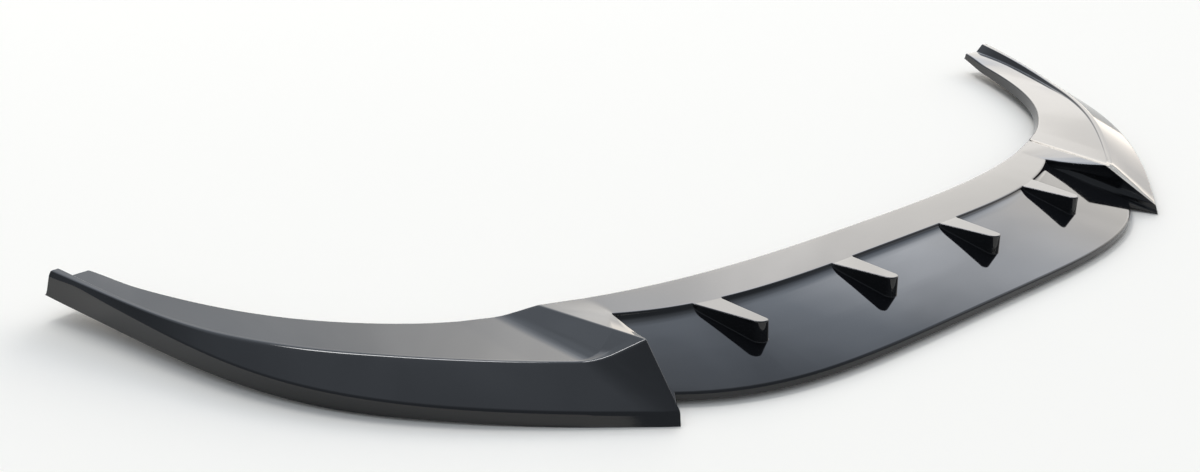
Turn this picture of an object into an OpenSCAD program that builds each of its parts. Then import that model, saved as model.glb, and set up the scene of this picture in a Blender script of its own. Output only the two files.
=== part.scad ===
// Front splitter lip: one moulded plastic sheet, open below.
// X runs across the car, +Y runs back towards the bumper, +Z is up.
// The origin is on the mirror plane, on the ground, half way between front and back.

/* [Overall] */
// Width over the lower edges of both wing tips
span_w = 1800; // [1500:1:2000]
// Distance from the front corners of the wings back to the rims at the wing tips
wing_depth = 607; // [450:1:750]
// Thickness of the moulded sheet
sheet_t = 4; // [2.5:0.1:5]

/* [Flange] */
// Width between the two inner end walls, measured along the step
centre_w = 826; // [760:1:900]
// Front to back width of the flange on the mirror plane
flange_w = 65; // [45:1:90]
// Height of the flange's top face above the ground
flange_z = 43; // [38:0.5:55]
// How far the ends of the rear edge sweep back
rear_sweep = 58; // [30:1:80]
// How far the ends of the step sweep back
step_sweep = 56; // [30:1:70]
// Height of the step down to the blade on the mirror plane
step_h = 5; // [3:0.5:8]
// How much taller the step is at its two ends
step_gain = 3; // [0:0.5:6]
// Depth of the turned-down edge along the rear and along the inside of the wings
return_h = 18; // [10:0.5:22]
// How far that turned-down edge leans out at its foot
return_lean = 9; // [3:0.5:14]

/* [Blade] */
// Length of the blade from the step to its front crease on the mirror plane
blade_l = 141; // [115:1:170]
// Distance from the front corners of the wings forward to the blade's crease
blade_reach = 38; // [15:1:60]
// How far the ends of the front crease sweep back
crease_sweep = 68; // [40:1:90]
// Half width at which the front crease meets the end walls
crease_half_w = 431; // [415:1:440]
// Height of the front crease above the ground
crease_z = 13.5; // [11:0.5:20]
// Height of the turned-down front lip
lip_h = 8; // [5:0.5:10]
// Crown of the blade above a straight line from step to crease
blade_crown = 1; // [0:0.1:5]

/* [Fins] */
// Number of fins
fin_n = 4; // [2:1:4]
// Distance between neighbouring fins at the step
fin_pitch = 205; // [150:1:215]
// Length of a fin from the step to its nose
fin_l = 79; // [60:1:95]
// Width of a fin's top at the step
fin_root_w = 35; // [26:1:50]
// Width of a fin's top just behind its rounded nose
fin_nose_w = 17; // [14:1:24]
// Rise of a fin's top from the step to its nose
fin_rise = 7.5; // [0:0.5:12]
// Share of the pitch by which the noses stand closer together than the roots
fin_toe_in = 0.03; // [0:0.01:0.06]
// Lean of the fin's walls at their foot
fin_lean = 1.2; // [0.8:0.1:2]

/* [Ramp and peak] */
// Half width at the peak of the ramp
peak_half_w = 432; // [420:1:440]
// Distance of the peak behind the front corners of the wings
peak_y = 76; // [60:1:90]
// Height of the peak above the ground
peak_z = 55.5; // [48:0.5:62]
// Half width at which the ridge of the ramp meets the rear edge
ridge_half_w = 468; // [455:1:480]
// Width from the ridge to the foot of the ramp along the rear edge
ramp_w = 42; // [30:1:60]
// Half width at the front corners of the wings
corner_half_w = 449; // [445:1:470]

/* [Wings] */
// Width of a wing's plate at its tip, from the inner corner to the outer face
tip_w = 46; // [38:1:60]
// How far the inner corner of the tip stands behind the rim
tip_rake = 14; // [5:1:25]
// Height of the plate along its inner edge
plate_z = 34; // [30:0.5:42]
// Rise of the plate's inner edge at the tip
plate_tip_rise = 5; // [0:0.5:10]
// Height of the outer crest at the middle of a wing
crest_z = 43; // [40:0.5:50]
// Rise of the crest from the middle of a wing to its tip
crest_tip_rise = 13; // [5:0.5:20]
// Height of the rim above the plate near the ramp
rim_h = 2.5; // [1.5:0.5:4]
// Height of the rim above the plate at the tip
rim_tip_h = 15; // [8:0.5:18]
// Width of the rim's top near the ramp
rim_w = 5; // [4.5:0.5:7]
// Width of the rim's top at the tip
rim_tip_w = 9; // [7:0.5:12]
// Slope of the rim's top near the ramp, as a share of its width
rim_tilt = 0.18; // [0:0.02:0.3]
// Height of the skirt at the front corners
skirt_h = 13.5; // [10:0.5:15]
// Height of the skirt's upper line at the tip
skirt_tip_z = 51; // [46:0.5:52]
// How far the skirt's foot stands out at the tip
skirt_flare = 8; // [2:0.5:10]
// How far the skirt's foot stands out at the front corner
front_flare = 4.5; // [0:0.5:5]
// Height of the lower edge at the tip
tip_lift = 28; // [10:0.5:30]
// Height of the lower edge along the front half of a wing, behind its front corner
wing_arch = 3.2; // [0:0.1:5]

/* [Folds] */
// Rounding of the turned-down rear edge and of the wings' inner edge
edge_round = 3; // [2:0.5:5]
// Rounding of the step, of the rim, of the fins and of the end walls' top edges
fold_round = 2; // [1:0.25:2.5]
// Rounding of the blade's front crease and of the skirt's upper line
crease_round = 3; // [1.5:0.5:4]
// Rounding of the ramp's foot
foot_round = 12; // [4:1:14]
// Rounding left inside a fold, on the lower face of the sheet
inner_round = 0.8; // [0.5:0.1:1.2]

/* [Hidden] */

// Places along the length of the car, measured from the front corners of the wings
step_y = blade_l - blade_reach;
rear_y = step_y + flange_w;
tip_back_y = wing_depth + tip_rake;
step_half_w = centre_w / 2;

// The rear edge bends gently, the step more sharply and the front crease most sharply
rear_power = 3;
step_power = 4;
crease_power = 4.5;
// Lean of the step and of the front lip
step_lean = 1.5;
lip_lean = 1;

function mix(a, b, f) = a + (b - a) * f;
function clamp(f) = min(1, max(0, f));
function smooth(f) = let (g = clamp(f)) g * g * (3 - 2 * g);
function unit(v) = v / norm(v);
function flat(v) = [v[0], v[1]];
function raise(v, z) = [v[0], v[1], z];
function sum(v, k = 0) = k == len(v) - 1 ? v[k] : v[k] + sum(v, k + 1);

// Lines of the centre as functions of x, and how much longer a slanted sheet is along y there
function bend(x, sweep, half_w, power) = sweep * pow(abs(x) / half_w, power);
function slant(x, sweep, half_w, power) =
    norm([1, sweep * power / half_w * pow(abs(x) / half_w, power - 1)]);
function rear_line(x) = rear_y + bend(x, rear_sweep, ridge_half_w, rear_power);
function step_line(x) = step_y + bend(x, step_sweep, step_half_w, step_power);
function crease_line(x) = -blade_reach + bend(x, crease_sweep, crease_half_w, crease_power);

// Height of the blade at t, which runs from 0 at the crease to 1 at the foot of the step
function step_foot_z(x) = flange_z - step_h - step_gain * pow(abs(x) / step_half_w, step_power);
function blade_z(x, t) = mix(crease_z, step_foot_z(x), t) + 4 * blade_crown * t * (1 - t);

// Outline of a fin: a straight taper with a round nose. In all of the centre, d is the depth
// below the upper face of the sheet: 0 for that face and sheet_t for the lower one
nose_angles = [76, 50];
nose_flat = 0.35;
function tip_t(d) = 1 - (fin_l - d) / blade_l;
function fin_half(t, d) =
    let (
        r = fin_nose_w / 2 - d,
        back = (t - tip_t(d)) * blade_l)
    back < 0 ? r * mix(nose_flat, 1, clamp(-back / r))
    : back < r ? max(r * nose_flat, sqrt(r * r - pow(r - back, 2)))
    : mix(r, fin_root_w / 2 - d, (back - r) / (fin_l - d - r));
function fin_top_z(t) = flange_z + fin_rise * (1 - t) * blade_l / fin_l;
function fin_middle(c, t) = c * (1 - fin_toe_in * (1 - t) * blade_l / fin_l);
function fin_c(k) = (k - (fin_n - 1) / 2) * fin_pitch;

// Lines that run from the rear edge to the lip. One on a fin is [fin's place, side, distance out
// from the edge of its top, 0], one at an end wall is [side], one in between [line, line, share]
function fin_line(k, side, out) = [fin_c(k), side, out, 0];
function fin_lines(k) =
    [fin_line(k, -1, fin_lean), fin_line(k, -1, 0), fin_line(k, 1, 0), fin_line(k, 1, fin_lean)];
function line_x(l, t, d) =
    len(l) == 3 ? mix(line_x(l[0], t, d), line_x(l[1], t, d), l[2])
    : len(l) == 1 ? l[0] * mix(crease_half_w, step_half_w, t)
    : fin_middle(l[0], t) + l[1] * (fin_half(t, d) + l[2]);
function on_top(l) = len(l) == 4 && l[2] == 0;
function between(a, b, n) = [for (k = [1 : n]) [a, b, k / (n + 1)]];
gap_lines = 3;
end_lines = 4;
centre_lines = concat(
    [[-1]],
    between([-1], fin_line(0, -1, fin_lean), end_lines),
    [for (k = [0 : fin_n - 1]) each concat(
        fin_lines(k),
        k < fin_n - 1
            ? between(fin_line(k, 1, fin_lean), fin_line(k + 1, -1, fin_lean), gap_lines)
            : [])],
    between(fin_line(fin_n - 1, 1, fin_lean), [1], end_lines),
    [[1]]);

// Shares of the way across the flange, and places t down the blade or down the outer wall
flange_shares = [0.35, 0.7, 0.9];
function blade_t(d) = concat(
    [1, 0.8],
    [for (a = nose_angles) tip_t(d) + (fin_nose_w / 2 - d) * (1 - cos(a)) / blade_l],
    [tip_t(d), tip_t(d) - fin_lean / blade_l, tip_t(d) * 0.5, 0]);

// One cross-section of the centre, from the rear edge's foot forward to the lip's foot
function centre_section(l, d = 0) =
    let (
        x = line_x(l, 1, d),
        top = flange_z - d,
        rear_d = d * slant(x, rear_sweep, ridge_half_w, rear_power)
            * norm([return_h, return_lean]) / return_h,
        back = rear_line(x) - rear_d,
        front = step_line(x) + d * slant(x, step_sweep, step_half_w, step_power),
        edge = back + return_lean * d / return_h,
        lip_x = line_x(l, 0, d),
        lip_d = d * slant(lip_x, crease_sweep, crease_half_w, crease_power))
    concat(
        [[x, back + return_lean, flange_z - return_h], [x, edge, top]],
        [for (s = flange_shares) [x, mix(edge, front, s), top]],
        [[x, front, top]],
        [for (t = blade_t(d))
            let (xt = line_x(l, t, d))
            [xt,
             mix(crease_line(xt) + lip_d, step_line(xt) + front - step_line(x) - step_lean, t),
             (on_top(l) && t >= tip_t(d) ? fin_top_z(t) : blade_z(xt, t)) - d]],
        [[lip_x, crease_line(lip_x) + lip_d - lip_lean, crease_z - lip_h]]);

// Smooth curve in plan from a to b, with a pull at each end
function pull(l, angle) = l * [cos(angle), sin(angle)];
function curve(a, pull_a, b, pull_b, s) =
    let (p = a + pull_a, q = b - pull_b, r = 1 - s)
    r * r * r * a + 3 * r * r * s * p + 3 * r * s * s * q + s * s * s * b;

// Plan of the wings: inner edge, crest and upper line of the skirt, from the ramp to the tip
crest_inset = 3;
ramp_angle = 30;
facet_run = [50, 16];
front_out = front_flare * [0.6, -1];
half_span = span_w / 2 - skirt_flare;
foot_back = [ridge_half_w, rear_y + rear_sweep] + pull(ramp_w, ramp_angle);
foot_front = [peak_half_w, peak_y] + facet_run;
tip_inner = [half_span - tip_w, tip_back_y];
tip_crest = [half_span - crest_inset, wing_depth];
tip_skirt = [half_span, wing_depth];
function inner_plan(s) = curve(foot_back, pull(214, 18), tip_inner, pull(120, 63), s);
function crest_plan(s) = curve(foot_front, pull(285, 35), tip_crest, pull(281, 69), s);
function skirt_plan(s) = curve([corner_half_w, 0], pull(409, 33), tip_skirt, pull(310, 68), s);

// Heights along the wings
function inner_z(s) = plate_z - 3 * (1 - smooth(s / 0.3)) + plate_tip_rise * smooth((s - 0.8) / 0.2);
function crest_height(s) =
    crest_z - 4 * (1 - smooth(s / 0.35)) + crest_tip_rise * smooth((s - 0.6) / 0.5) / smooth(0.8);
function rim_height(s) = mix(rim_h, rim_tip_h, pow(s, 3));
function rim_width(s) = mix(rim_w, rim_tip_w, s);
rim_run = 0.75;
function skirt_z(s) = mix(skirt_h, skirt_tip_z, 0.52 * s + 0.48 * pow(s, 3.2));
function lower_z(s) =
    let (u = clamp((s - 0.4) / 0.6))
    mix(wing_arch * smooth((s - 0.06) / 0.2), tip_lift, (u + pow(u, 5)) / 2);
function return_depth(s) = return_h * (1 - 0.4 * pow(s, 4));

// Key points of the wing's cross-section at s, from 0 at the ramp's foot to 1 at the tip: foot and
// top of the turned-down edge, plate, foot and top of the rim, crest, skirt, foot of the skirt
function wing_keys(s) =
    let (
        i = inner_plan(s),
        c = crest_plan(s),
        k = skirt_plan(max(s, 0.015)),
        inward = unit(i - c),
        z = crest_height(s),
        h = rim_height(s),
        w = rim_width(s),
        rim_foot = c + inward * (w + h * rim_run))
    [raise(i + inward * return_lean * (1 - 0.85 * smooth(s / 0.4)), inner_z(s) - return_depth(s)),
     raise(i, inner_z(s)),
     raise(mix(i, rim_foot, 0.5), mix(inner_z(s), z - h, 0.5)),
     raise(rim_foot, z - h),
     raise(c + inward * w, z - rim_tilt * w * (1 - 0.7 * s)),
     raise(c, z),
     raise(k, skirt_z(s)),
     raise(k - inward * skirt_flare * pow(s, 3) + front_out * pow(1 - s, 4), lower_z(s))];

// Key points along the ridge of the ramp, and from its peak down the front corner of the wing
ridge_back = [ridge_half_w, rear_y + rear_sweep, flange_z];
peak = [peak_half_w, peak_y, peak_z];
ridge_keys = concat(
    [ridge_back + [return_lean * 0.4, return_lean * 0.9, -return_h], ridge_back],
    [for (g = flange_shares) mix(ridge_back, peak, g)],
    [peak, [corner_half_w, 0, skirt_h], raise([corner_half_w, 0] + front_out, 0)]);

// The closed end of a wing: the last section dropped to a straight lower edge
tip_turn = 2.5;
end_turn = raise(pull(tip_turn, 66), 0);
last = wing_keys(1);
end_across = flat(last[7] - last[0]);
end_shares = [for (p = last)
    clamp((flat(p - last[0]) * end_across) / (end_across * end_across))];
function end_row(a, b) = [for (j = [0 : 14])
    mix(a, b, j < 6 ? mix(end_shares[j], j / 14, 0.5)
        : mix(mix(end_shares[5], 5 / 14, 0.5), 1, (j - 5) / 9))
        + end_turn];

// A full cross-section from its key points: a narrow bevel at the skirt's upper line, and more
// points down the skirt, so that it has as many as the centre's sections
bevel = 1.2;
function full(k) =
    let (
        over = k[6] + unit(k[5] - k[6]) * bevel,
        below = k[6] + unit(k[7] - k[6]) * bevel)
    concat(
        [for (j = [0 : 5]) k[j]],
        [mix(k[5], k[6], 0.25), mix(k[5], k[6], 0.6), over, below],
        [for (f = [0.2 : 0.2 : 1.01]) mix(below, k[7], f)]);

// The lower face lies one sheet thickness inside the faces that meet at each point: it is their
// least-squares meeting point, along their mean where they are flat, and stays level with the
// upper face along the free edges
hold = 0.05;
stay_level = 1000;
function meeting(near, mean, level) =
    let (
        a = [for (r = [0 : 2]) [for (c = [0 : 2])
            sum([for (v = near) v[r] * v[c]])
                + (r == c ? hold : 0) + (r == 2 && c == 2 ? level : 0)]],
        b = sum(near) + hold * mean,
        w = cross(a[1], a[2]))
    [b * w, b * cross(a[2], a[0]), b * cross(a[0], a[1])] / (a[0] * w);
function quad_normal(g, i, j) =
    unit(cross(g[i][j + 1] - g[i + 1][j], g[i + 1][j + 1] - g[i][j]));
function lower_point(g, i, j) =
    let (
        n = len(g[0]),
        near = [for (a = [i - 1, i]) for (b = [max(0, j - 1) : min(n - 2, j)])
            quad_normal(g, a, b)],
        d = meeting(near, unit(sum(near)), j == 0 || j == n - 1 ? stay_level : 0))
    g[i][j] - sheet_t * d * min(1, 2.2 / norm(d));
function lower_row(g, i) = [for (j = [0 : len(g[0]) - 1]) lower_point(g, i, j)];

// The right wing's upper and lower rows, from the end wall's foot on the blade to the tip
wing_stations = 20;
centre_n = len(centre_lines);
centre_end = [for (k = [centre_n - 2, centre_n - 1]) centre_section(centre_lines[k])];
sections = [for (k = [0 : wing_stations]) wing_keys(k / wing_stations)];
keys = concat(
    [[for (j = [0, 1, 2, 3, 4, 5, 13, 14]) centre_end[1][j]], ridge_keys],
    sections,
    [[for (j = [0, 1, 2, 3, 4, 5, 13, 14]) end_row(last[0], last[7])[j]]]);
lower_keys = [for (i = [1 : len(keys) - 2]) lower_row(keys, i)];
lower_last = lower_keys[len(lower_keys) - 1];
wing = concat(
    [full(ridge_keys)],
    [for (k = sections) full(k)],
    [end_row(last[0], last[7])]);
lower_wing = concat(
    [lower_row([centre_end[0], centre_end[1], wing[0]], 1)],
    [for (k = lower_keys) full(k)],
    [end_row(lower_last[0], lower_last[7])]);
wing_n = len(wing);

// Both faces of the sheet, still with sharp folds
function mirrored(section) = [for (p = section) [-p[0], p[1], p[2]]];
function both_sides(w, centre) =
    concat([for (k = [len(w) - 1 : -1 : 0]) mirrored(w[k])], centre, w);
sharp = both_sides(wing, [for (l = centre_lines) centre_section(l)]);
sharp_lower = both_sides(lower_wing,
    [for (k = [1 : centre_n - 2]) centre_section(centre_lines[k], sheet_t)]);
rows = len(sharp);
cols = len(sharp[0]);

// A fold is rounded over three points, and a cut of 0 leaves it as it is
function rounded(a, p, b, cut) =
    let (
        q = p + unit(a - p) * min(cut, norm(a - p) * 0.4),
        r = p + unit(b - p) * min(cut, norm(b - p) * 0.4))
    [q, (q + 2 * p + r) / 4, r];
function round_section(v, cuts) = [for (j = [0 : len(v) - 1])
    each cuts[j] == 0 ? [v[j]] : rounded(v[j - 1], v[j], v[j + 1], cuts[j])];
function round_rows(g, cuts) = [for (i = [0 : len(g) - 1])
    each cuts[i] == 0 ? [g[i]]
    : let (f = [for (j = [0 : cols - 1]) rounded(g[i - 1][j], g[i][j], g[i + 1][j], cuts[i])])
        [for (k = [0 : 2]) [for (j = [0 : cols - 1]) f[j][k]]]];

// Cuts by column: turned-down edge, rim, step or crest, foot of the step, crease or skirt
function column_cuts(edge, fold, foot, crease) = [for (j = [0 : cols - 1])
    j == 1 ? edge : j == 4 || j == 5 ? fold : j == 6 ? foot : j == cols - 2 ? crease : 0];
// Cuts by row: fins' edges, end of the centre, ridge, foot of the ramp and tip
function row_cuts(fin, end, ridge, foot, tip) = [for (i = [0 : rows - 1])
    let (k = abs(i - (rows - 1) / 2) - (centre_n - 1) / 2)
    k == 0 ? end : k == 1 ? ridge : k == 2 ? foot : k == wing_n - 1 ? tip
    : k < 0 && on_top(centre_lines[i - wing_n]) ? fin : 0];

in = inner_round;
fold = fold_round;
upper = [for (v = round_rows(sharp, row_cuts(fold, fold, fold, foot_round, in)))
    round_section(v, column_cuts(edge_round, fold, fold, crease_round))];
lower = [for (v = round_rows(sharp_lower, row_cuts(in, fold, in, foot_round, in)))
    round_section(v, column_cuts(in, in, fold, in))];

// Faces between the two skins' grids of points, each quad cut along its shorter diagonal
m = len(upper);
n = len(upper[0]);
skin_points = [each each upper, each each lower];
function up(i, j) = i * n + j;
function low(i, j) = m * n + i * n + j;
function quad(a, b, c, d) =
    norm(skin_points[a] - skin_points[c]) < norm(skin_points[b] - skin_points[d]) + 0.001
        ? [[a, b, c], [a, c, d]]
        : [[a, b, d], [b, c, d]];
shell_faces = [
    for (i = [0 : m - 2]) each concat(
        quad(up(i + 1, 0), up(i, 0), low(i, 0), low(i + 1, 0)),
        quad(up(i, n - 1), up(i + 1, n - 1), low(i + 1, n - 1), low(i, n - 1))),
    for (j = [0 : n - 2]) each concat(
        quad(up(0, j), up(0, j + 1), low(0, j + 1), low(0, j)),
        quad(up(m - 1, j + 1), up(m - 1, j), low(m - 1, j), low(m - 1, j + 1))),
    for (i = [0 : m - 2]) for (j = [0 : n - 2]) each concat(
        quad(up(i, j), up(i + 1, j), up(i + 1, j + 1), up(i, j + 1)),
        quad(low(i, j), low(i, j + 1), low(i + 1, j + 1), low(i + 1, j)))];

// Front and back limits of the part, which place the origin
front_y = -blade_reach - lip_lean;
back_y = wing[wing_n - 1][0][1];
origin_y = (front_y + back_y) / 2;

module splitter_lip() {
    color([0.08, 0.085, 0.095])
        translate([0, -origin_y, 0])
            polyhedron(points = skin_points, faces = shell_faces, convexity = 8);
}

splitter_lip();
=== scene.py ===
# %% [markdown]
# # Front splitter lip
#
# The real part is one sheet of gloss black ABS, about 4 mm thick, that was heated and drawn over
# a mould. A flat flange in the middle goes under the bumper, a blade with four fins slopes down
# to the front, and a wing sweeps back on either side and rises to a closed tip.
#
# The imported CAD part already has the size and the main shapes. This lesson builds the same sheet
# again with finer folds and smooth shading, gives it its finish, and sets up a small studio.

# %% Load the frame
import math

import bmesh
import bpy
import numpy as np
from mathutils import Matrix


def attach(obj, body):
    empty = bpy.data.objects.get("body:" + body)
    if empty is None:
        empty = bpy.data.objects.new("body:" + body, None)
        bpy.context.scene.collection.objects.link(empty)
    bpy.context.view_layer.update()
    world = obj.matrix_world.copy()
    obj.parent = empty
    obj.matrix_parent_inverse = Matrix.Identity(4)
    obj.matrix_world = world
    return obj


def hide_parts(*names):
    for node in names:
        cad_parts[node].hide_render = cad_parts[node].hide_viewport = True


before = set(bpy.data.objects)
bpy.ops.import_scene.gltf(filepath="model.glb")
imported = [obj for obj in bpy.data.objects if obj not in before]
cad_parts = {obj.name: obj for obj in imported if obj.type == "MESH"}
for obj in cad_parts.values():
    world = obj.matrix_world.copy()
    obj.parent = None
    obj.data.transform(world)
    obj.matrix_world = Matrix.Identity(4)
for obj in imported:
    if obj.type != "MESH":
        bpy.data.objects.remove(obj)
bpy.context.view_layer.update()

# %% [markdown]
# ## Small helpers for shapes
#
# A thermoformed sheet is a set of smooth panels that meet in folds. It could be modelled by hand
# with subdivision, but folds of 2 mm on a part 1.8 m wide need very uneven edge loops. Here each
# panel is a grid of points worked out from the real sizes in millimetres, so every fold gets its
# own close points and the panels between stay light.

# %% Helpers for shapes
def mix(a, b, f):
    return a + (b - a) * f


def clamp(f):
    return np.clip(f, 0.0, 1.0)


def smooth(f):
    g = clamp(f)
    return g * g * (3 - 2 * g)


def unit(v):
    return v / np.maximum(np.linalg.norm(v, axis=-1, keepdims=True), 1e-9)


def bezier(a, b, c, s):
    return (1 - s) ** 2 * a + 2 * s * (1 - s) * b + s * s * c


FOLD_STEPS = 5


def round_rows(grid, cuts):
    """Every row with a cut becomes a small arc. A cut is how far the arc reaches towards the rows
    before and after, and the share of the way to them that it may use."""
    out = []
    for i, row in enumerate(grid):
        if i not in cuts:
            out.append(row)
            continue
        *reaches, limit = cuts[i]
        ends = []
        for other, reach in zip((grid[i - 1], grid[i + 1]), reaches):
            away = other - row
            length = np.linalg.norm(away, axis=-1, keepdims=True)
            ends.append(row + unit(away) * np.minimum(reach, limit * length))
        out += [bezier(ends[0], row, ends[1], s) for s in np.linspace(0, 1, FOLD_STEPS + 1)]
    return np.array(out)


def fold(reach):
    return (reach, reach, 0.4)


def round_columns(grid, cuts):
    return round_rows(np.swapaxes(grid, 0, 1), cuts).swapaxes(0, 1)


print("a fold takes", FOLD_STEPS + 1, "points")

# %% [markdown]
# ## The centre: flange, step and blade
#
# On the real part the flange is flat where it meets the bumper. A step of 5 to 8 mm leads down to
# the blade, which slopes to a crease and a short lip. All of its long lines sweep back towards
# the ends. The lines are power curves of x, because they are almost straight in the middle and
# bend more and more towards the ends. d is the depth below the upper face: 0 gives the show side
# and 4 mm the back of the sheet.

# %% Sizes and lines of the centre
SHEET = 4.0
FLANGE_Z, FLANGE_W, RETURN_H, RETURN_LEAN = 43.0, 65.0, 18.0, 9.0
BLADE_L, BLADE_REACH, CREASE_Z, CROWN = 141.0, 38.0, 13.5, 1.0
LIP_H, LIP_LEAN, STEP_LEAN = 8.0, 1.0, 1.5
STEP_H, STEP_GAIN = 5.0, 3.0
STEP_Y = BLADE_L - BLADE_REACH
REAR_Y = STEP_Y + FLANGE_W
# sweep, half width and power of the rear edge, the step and the front crease
REAR, STEP, CREASE = (58.0, 468.0, 3.0), (56.0, 413.0, 4.0), (68.0, 431.0, 4.5)


def bend(x, line):
    sweep, half, power = line
    return sweep * (np.abs(x) / half) ** power


def slant(x, line):
    sweep, half, power = line
    return np.hypot(1, sweep * power / half * (np.abs(x) / half) ** (power - 1))


def blade_z(x, t):
    """Height of the blade at t, from 0 at the crease to 1 at the foot of the step."""
    foot = FLANGE_Z - STEP_H - STEP_GAIN * (np.abs(x) / STEP[1]) ** STEP[2]
    hump = 4 * t * (1 - t)  # 1 half way, 0 at both ends
    return mix(CREASE_Z, foot, t) + CROWN * hump


def blade_y(x, t, d):
    """How far back the blade is at t."""
    front = -BLADE_REACH + bend(x, CREASE) + d * slant(x, CREASE)
    back = STEP_Y + bend(x, STEP) + d * slant(x, STEP) - STEP_LEAN
    return mix(front, back, t)


print("step at y =", STEP_Y, "rear edge at y =", REAR_Y, "mm")

# %% [markdown]
# ## Columns that the whole part shares
#
# The centre and the wings meet at the end walls, so their grids need the same columns there.
# A column has a number from 0 at the rear edge's foot to 14 at the front lip's foot, and a
# fraction means a place between two of them. The blade's columns are closer round a fin's nose,
# where they follow it at two angles.

# %% Columns
FIN_L, FIN_NOSE_W, FIN_ROOT_W, FIN_PITCH = 79.0, 17.0, 35.0, 205.0
FIN_RISE, FIN_TOE, FIN_LEAN, FIN_N = 7.5, 0.03, 1.2, 4
TIP_T = 1 - FIN_L / BLADE_L
NOSE_T = TIP_T + FIN_NOSE_W / 2 / BLADE_L
ROOT_T = 0.8
NOSE_MARKS = (76, 50)
KEY_T = np.array([
    1, ROOT_T,
    *(TIP_T + FIN_NOSE_W / 2 * (1 - math.cos(math.radians(a))) / BLADE_L for a in NOSE_MARKS),
    TIP_T, TIP_T - FIN_LEAN / BLADE_L, TIP_T / 2, 0])
NOSE_COLUMN = 7 + (ROOT_T - NOSE_T) / (ROOT_T - KEY_T[2])
BACK = np.array([0, 0.5, 1, 1.5, 2, 2.5, 3, 4, 5, 6, 7, 7.4, NOSE_COLUMN])
FRONT = np.array([NOSE_COLUMN, 8, 8.25, 8.5, 8.75, 9, 9.5, 10, 11, 11.5, 12, 12.5, 13, 14])
ALL = np.concatenate([BACK, FRONT[1:]])


def t_of(columns):
    return np.interp(columns, np.arange(6, 14), KEY_T)


def cut_map(columns, cuts):
    """Which places in a list of columns get which fold."""
    return {int(np.where(columns == c)[0][0]): r for c, r in cuts.items() if c in columns}


print(len(ALL), "columns before the folds are rounded")

# %% [markdown]
# ## A line of the centre
#
# Every line runs from the rear edge to the lip. Only its x, and its height on a fin, change from
# line to line, so one function makes them all.

# %% One line of the centre
# how far from the rear edge to the step the flange's inner columns stand
FLANGE_SHARES = (0.35, 0.7, 0.9)


def flange_points(x, d, columns):
    """The part of a line on the turned-down edge and the flange, with the top of the step."""
    top = FLANGE_Z - d
    rear_d = d * slant(x, REAR) * math.hypot(RETURN_H, RETURN_LEAN) / RETURN_H
    back = REAR_Y + bend(x, REAR) - rear_d
    front = STEP_Y + bend(x, STEP) + d * slant(x, STEP)
    edge = back + RETURN_LEAN * d / RETURN_H
    ys = [back + RETURN_LEAN, edge, *(mix(edge, front, s) for s in FLANGE_SHARES), front]
    zs = [FLANGE_Z - RETURN_H] + [top] * 5
    c = columns[columns <= 5]
    return np.stack([np.full(len(c), x), np.interp(c, range(6), ys), np.interp(c, range(6), zs)], 1)


def blade_points(x, t, d, z=None):
    height = blade_z(x, t) if z is None else z
    return np.stack([x, blade_y(x, t, d), height - d], -1)


def lip_point(x, d):
    y = -BLADE_REACH + bend(x, CREASE) + d * slant(x, CREASE) - LIP_LEAN
    return np.array([[x, y, CREASE_Z - LIP_H]])


print("flange of", FLANGE_W, "mm in", len(FLANGE_SHARES) + 1, "shares")

# %% [markdown]
# ## Fins
#
# The four fins are drawn up from the blade, so they are hollow and their edges are soft: about
# 2 mm at the top, and a small hollow fillet at the foot. A box with a bevel would round all of
# them alike, but here the fillets run into the flange. So the wall of a fin gets its own profile,
# from the top's edge to the blade, and that profile is carried along both sides and round the nose.

# %% Fin outline and wall profile
NOSE_ANGLES = np.radians(np.arange(-90, 91, 15))
NOSE_SHARES = np.sin(NOSE_ANGLES)
# on the show side and on the back of the sheet
TOP_ROUND, FOOT_ROUND = (1.6, 0.8), (0.6, 3.0)
# near the step a fin is low, and there a round may take this share of the wall's height
MOST_OF_WALL = 0.45
ARC = np.linspace(0, 1, FOLD_STEPS + 1)


def fin_top(t):
    return FLANGE_Z + FIN_RISE * (1 - t) * BLADE_L / FIN_L


def fin_middle(c, t):
    return c * (1 - FIN_TOE * (1 - t) * BLADE_L / FIN_L)


def fin_half(t, d):
    """Half width of a fin's top between the step and the middle of its nose."""
    r = FIN_NOSE_W / 2 - d
    back = (t - TIP_T) * BLADE_L - d
    return mix(r, FIN_ROOT_W / 2 - d, np.maximum(back - r, 0) / (FIN_L - d - r))


def wall_profile(height, d):
    """Distance out from the top's edge, and drop from the top, down the wall of a fin."""
    side = 1 if d else 0
    r_top, r_foot = (np.minimum(r[side], MOST_OF_WALL * height) for r in (TOP_ROUND, FOOT_ROUND))
    out, drop = [], []
    for s in ARC:
        out.append(bezier(-r_top, 0, FIN_LEAN * r_top / height, s))
        drop.append(bezier(0, 0, r_top, s))
    for s in ARC:
        out.append(bezier(FIN_LEAN * (1 - r_foot / height), FIN_LEAN, FIN_LEAN + r_foot, s))
        drop.append(bezier(height - r_foot, height, height, s))
    return np.array(out), np.array(drop)


wall_n = 2 * len(ARC)
print("a fin's wall has", wall_n, "lines")

# %% [markdown]
# The lines of a fin: down its left wall from outside in, across its top, and down its right wall.
# The lines on the top stand at the sines of the nose's angles, so that they end on its round edge.

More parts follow.
